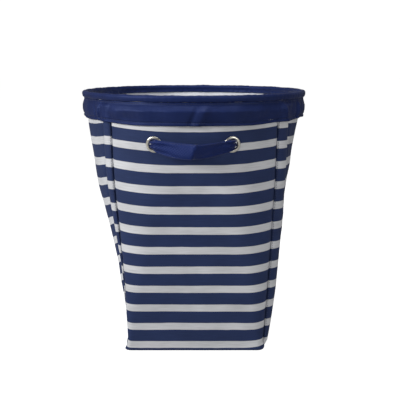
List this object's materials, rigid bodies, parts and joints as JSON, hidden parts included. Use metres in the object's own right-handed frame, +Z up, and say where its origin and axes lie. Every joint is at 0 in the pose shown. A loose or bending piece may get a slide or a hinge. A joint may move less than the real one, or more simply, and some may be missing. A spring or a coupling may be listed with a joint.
{
  "type": "fabric storage bin",
  "caption": "Tapered striped fabric storage bin with a square base, a round sprung rim, a hanging navy cuff and strap handles through metal eyelets.",
  "frame": {"origin": "centre of the square base on the resting face", "axes": "+Z up, +X to the right as seen from the front, the front wall faces -Y"},
  "size_m": [0.4, 0.427, 0.45],
  "materials": {
    "striped_polyester": "plain-weave polyester printed in navy and white bands, coated white on the inside",
    "navy_polyester": "navy plain-weave polyester",
    "navy_strap": "folded navy polyester strap",
    "navy_tape": "narrow woven binding tape",
    "nickel": "bright nickel plate on pressed steel",
    "spring_steel": "drawn spring wire",
    "fibreglass": "white pultruded fibreglass rod",
    "white_plastic": "white moulded polythene",
    "board": "grey-brown pressed board",
    "board_cover": "white coated polyester"
  },
  "bodies": {
    "bin": {"front_panel": "striped_polyester", "right_panel": "striped_polyester", "back_panel": "striped_polyester", "left_panel": "striped_polyester", "front_right_sleeve": "striped_polyester", "front_right_rod": "fibreglass", "front_right_rod_caps": "white_plastic", "front_right_seam_tape": "navy_tape", "front_right_eyelet": "nickel", "front_right_washer": "nickel", "front_right_knot": "navy_strap", "back_right_sleeve": "striped_polyester", "back_right_rod": "fibreglass", "back_right_rod_caps": "white_plastic", "back_right_seam_tape": "navy_tape", "back_right_eyelet": "nickel", "back_right_washer": "nickel", "back_right_knot": "navy_strap", "back_left_sleeve": "striped_polyester", "back_left_rod": "fibreglass", "back_left_rod_caps": "white_plastic", "back_left_seam_tape": "navy_tape", "back_left_eyelet": "nickel", "back_left_washer": "nickel", "back_left_knot": "navy_strap", "front_left_sleeve": "striped_polyester", "front_left_rod": "fibreglass", "front_left_rod_caps": "white_plastic", "front_left_seam_tape": "navy_tape", "front_left_eyelet": "nickel", "front_left_washer": "nickel", "front_left_knot": "navy_strap", "rim_wire": "spring_steel", "rim_wire_ferrule": "spring_steel", "rim_binding": "navy_polyester", "cuff": "navy_polyester", "base_panel": "navy_polyester", "base_seam_tape": "navy_tape"},
    "front_handle": {"front_handle": "navy_strap"},
    "back_handle": {"back_handle": "navy_strap"},
    "base_insert": {"base_board_cover": "board_cover", "base_board": "board"}
  },
  "joints": [
    {"name": "front_handle_swing", "type": "hinge", "parent": "bin", "child": "front_handle", "pos_m": [0, -0.1877, 0.3696], "axis": [-1, 0, 0], "range_deg": [-25, 70]},
    {"name": "back_handle_swing", "type": "hinge", "parent": "bin", "child": "back_handle", "pos_m": [0, 0.1877, 0.3696], "axis": [1, 0, 0], "range_deg": [-25, 70]},
    {"name": "base_board_lift", "type": "slide", "parent": "bin", "child": "base_insert", "axis": [0, 0, 1], "range_m": [0, 0.455]}
  ]
}
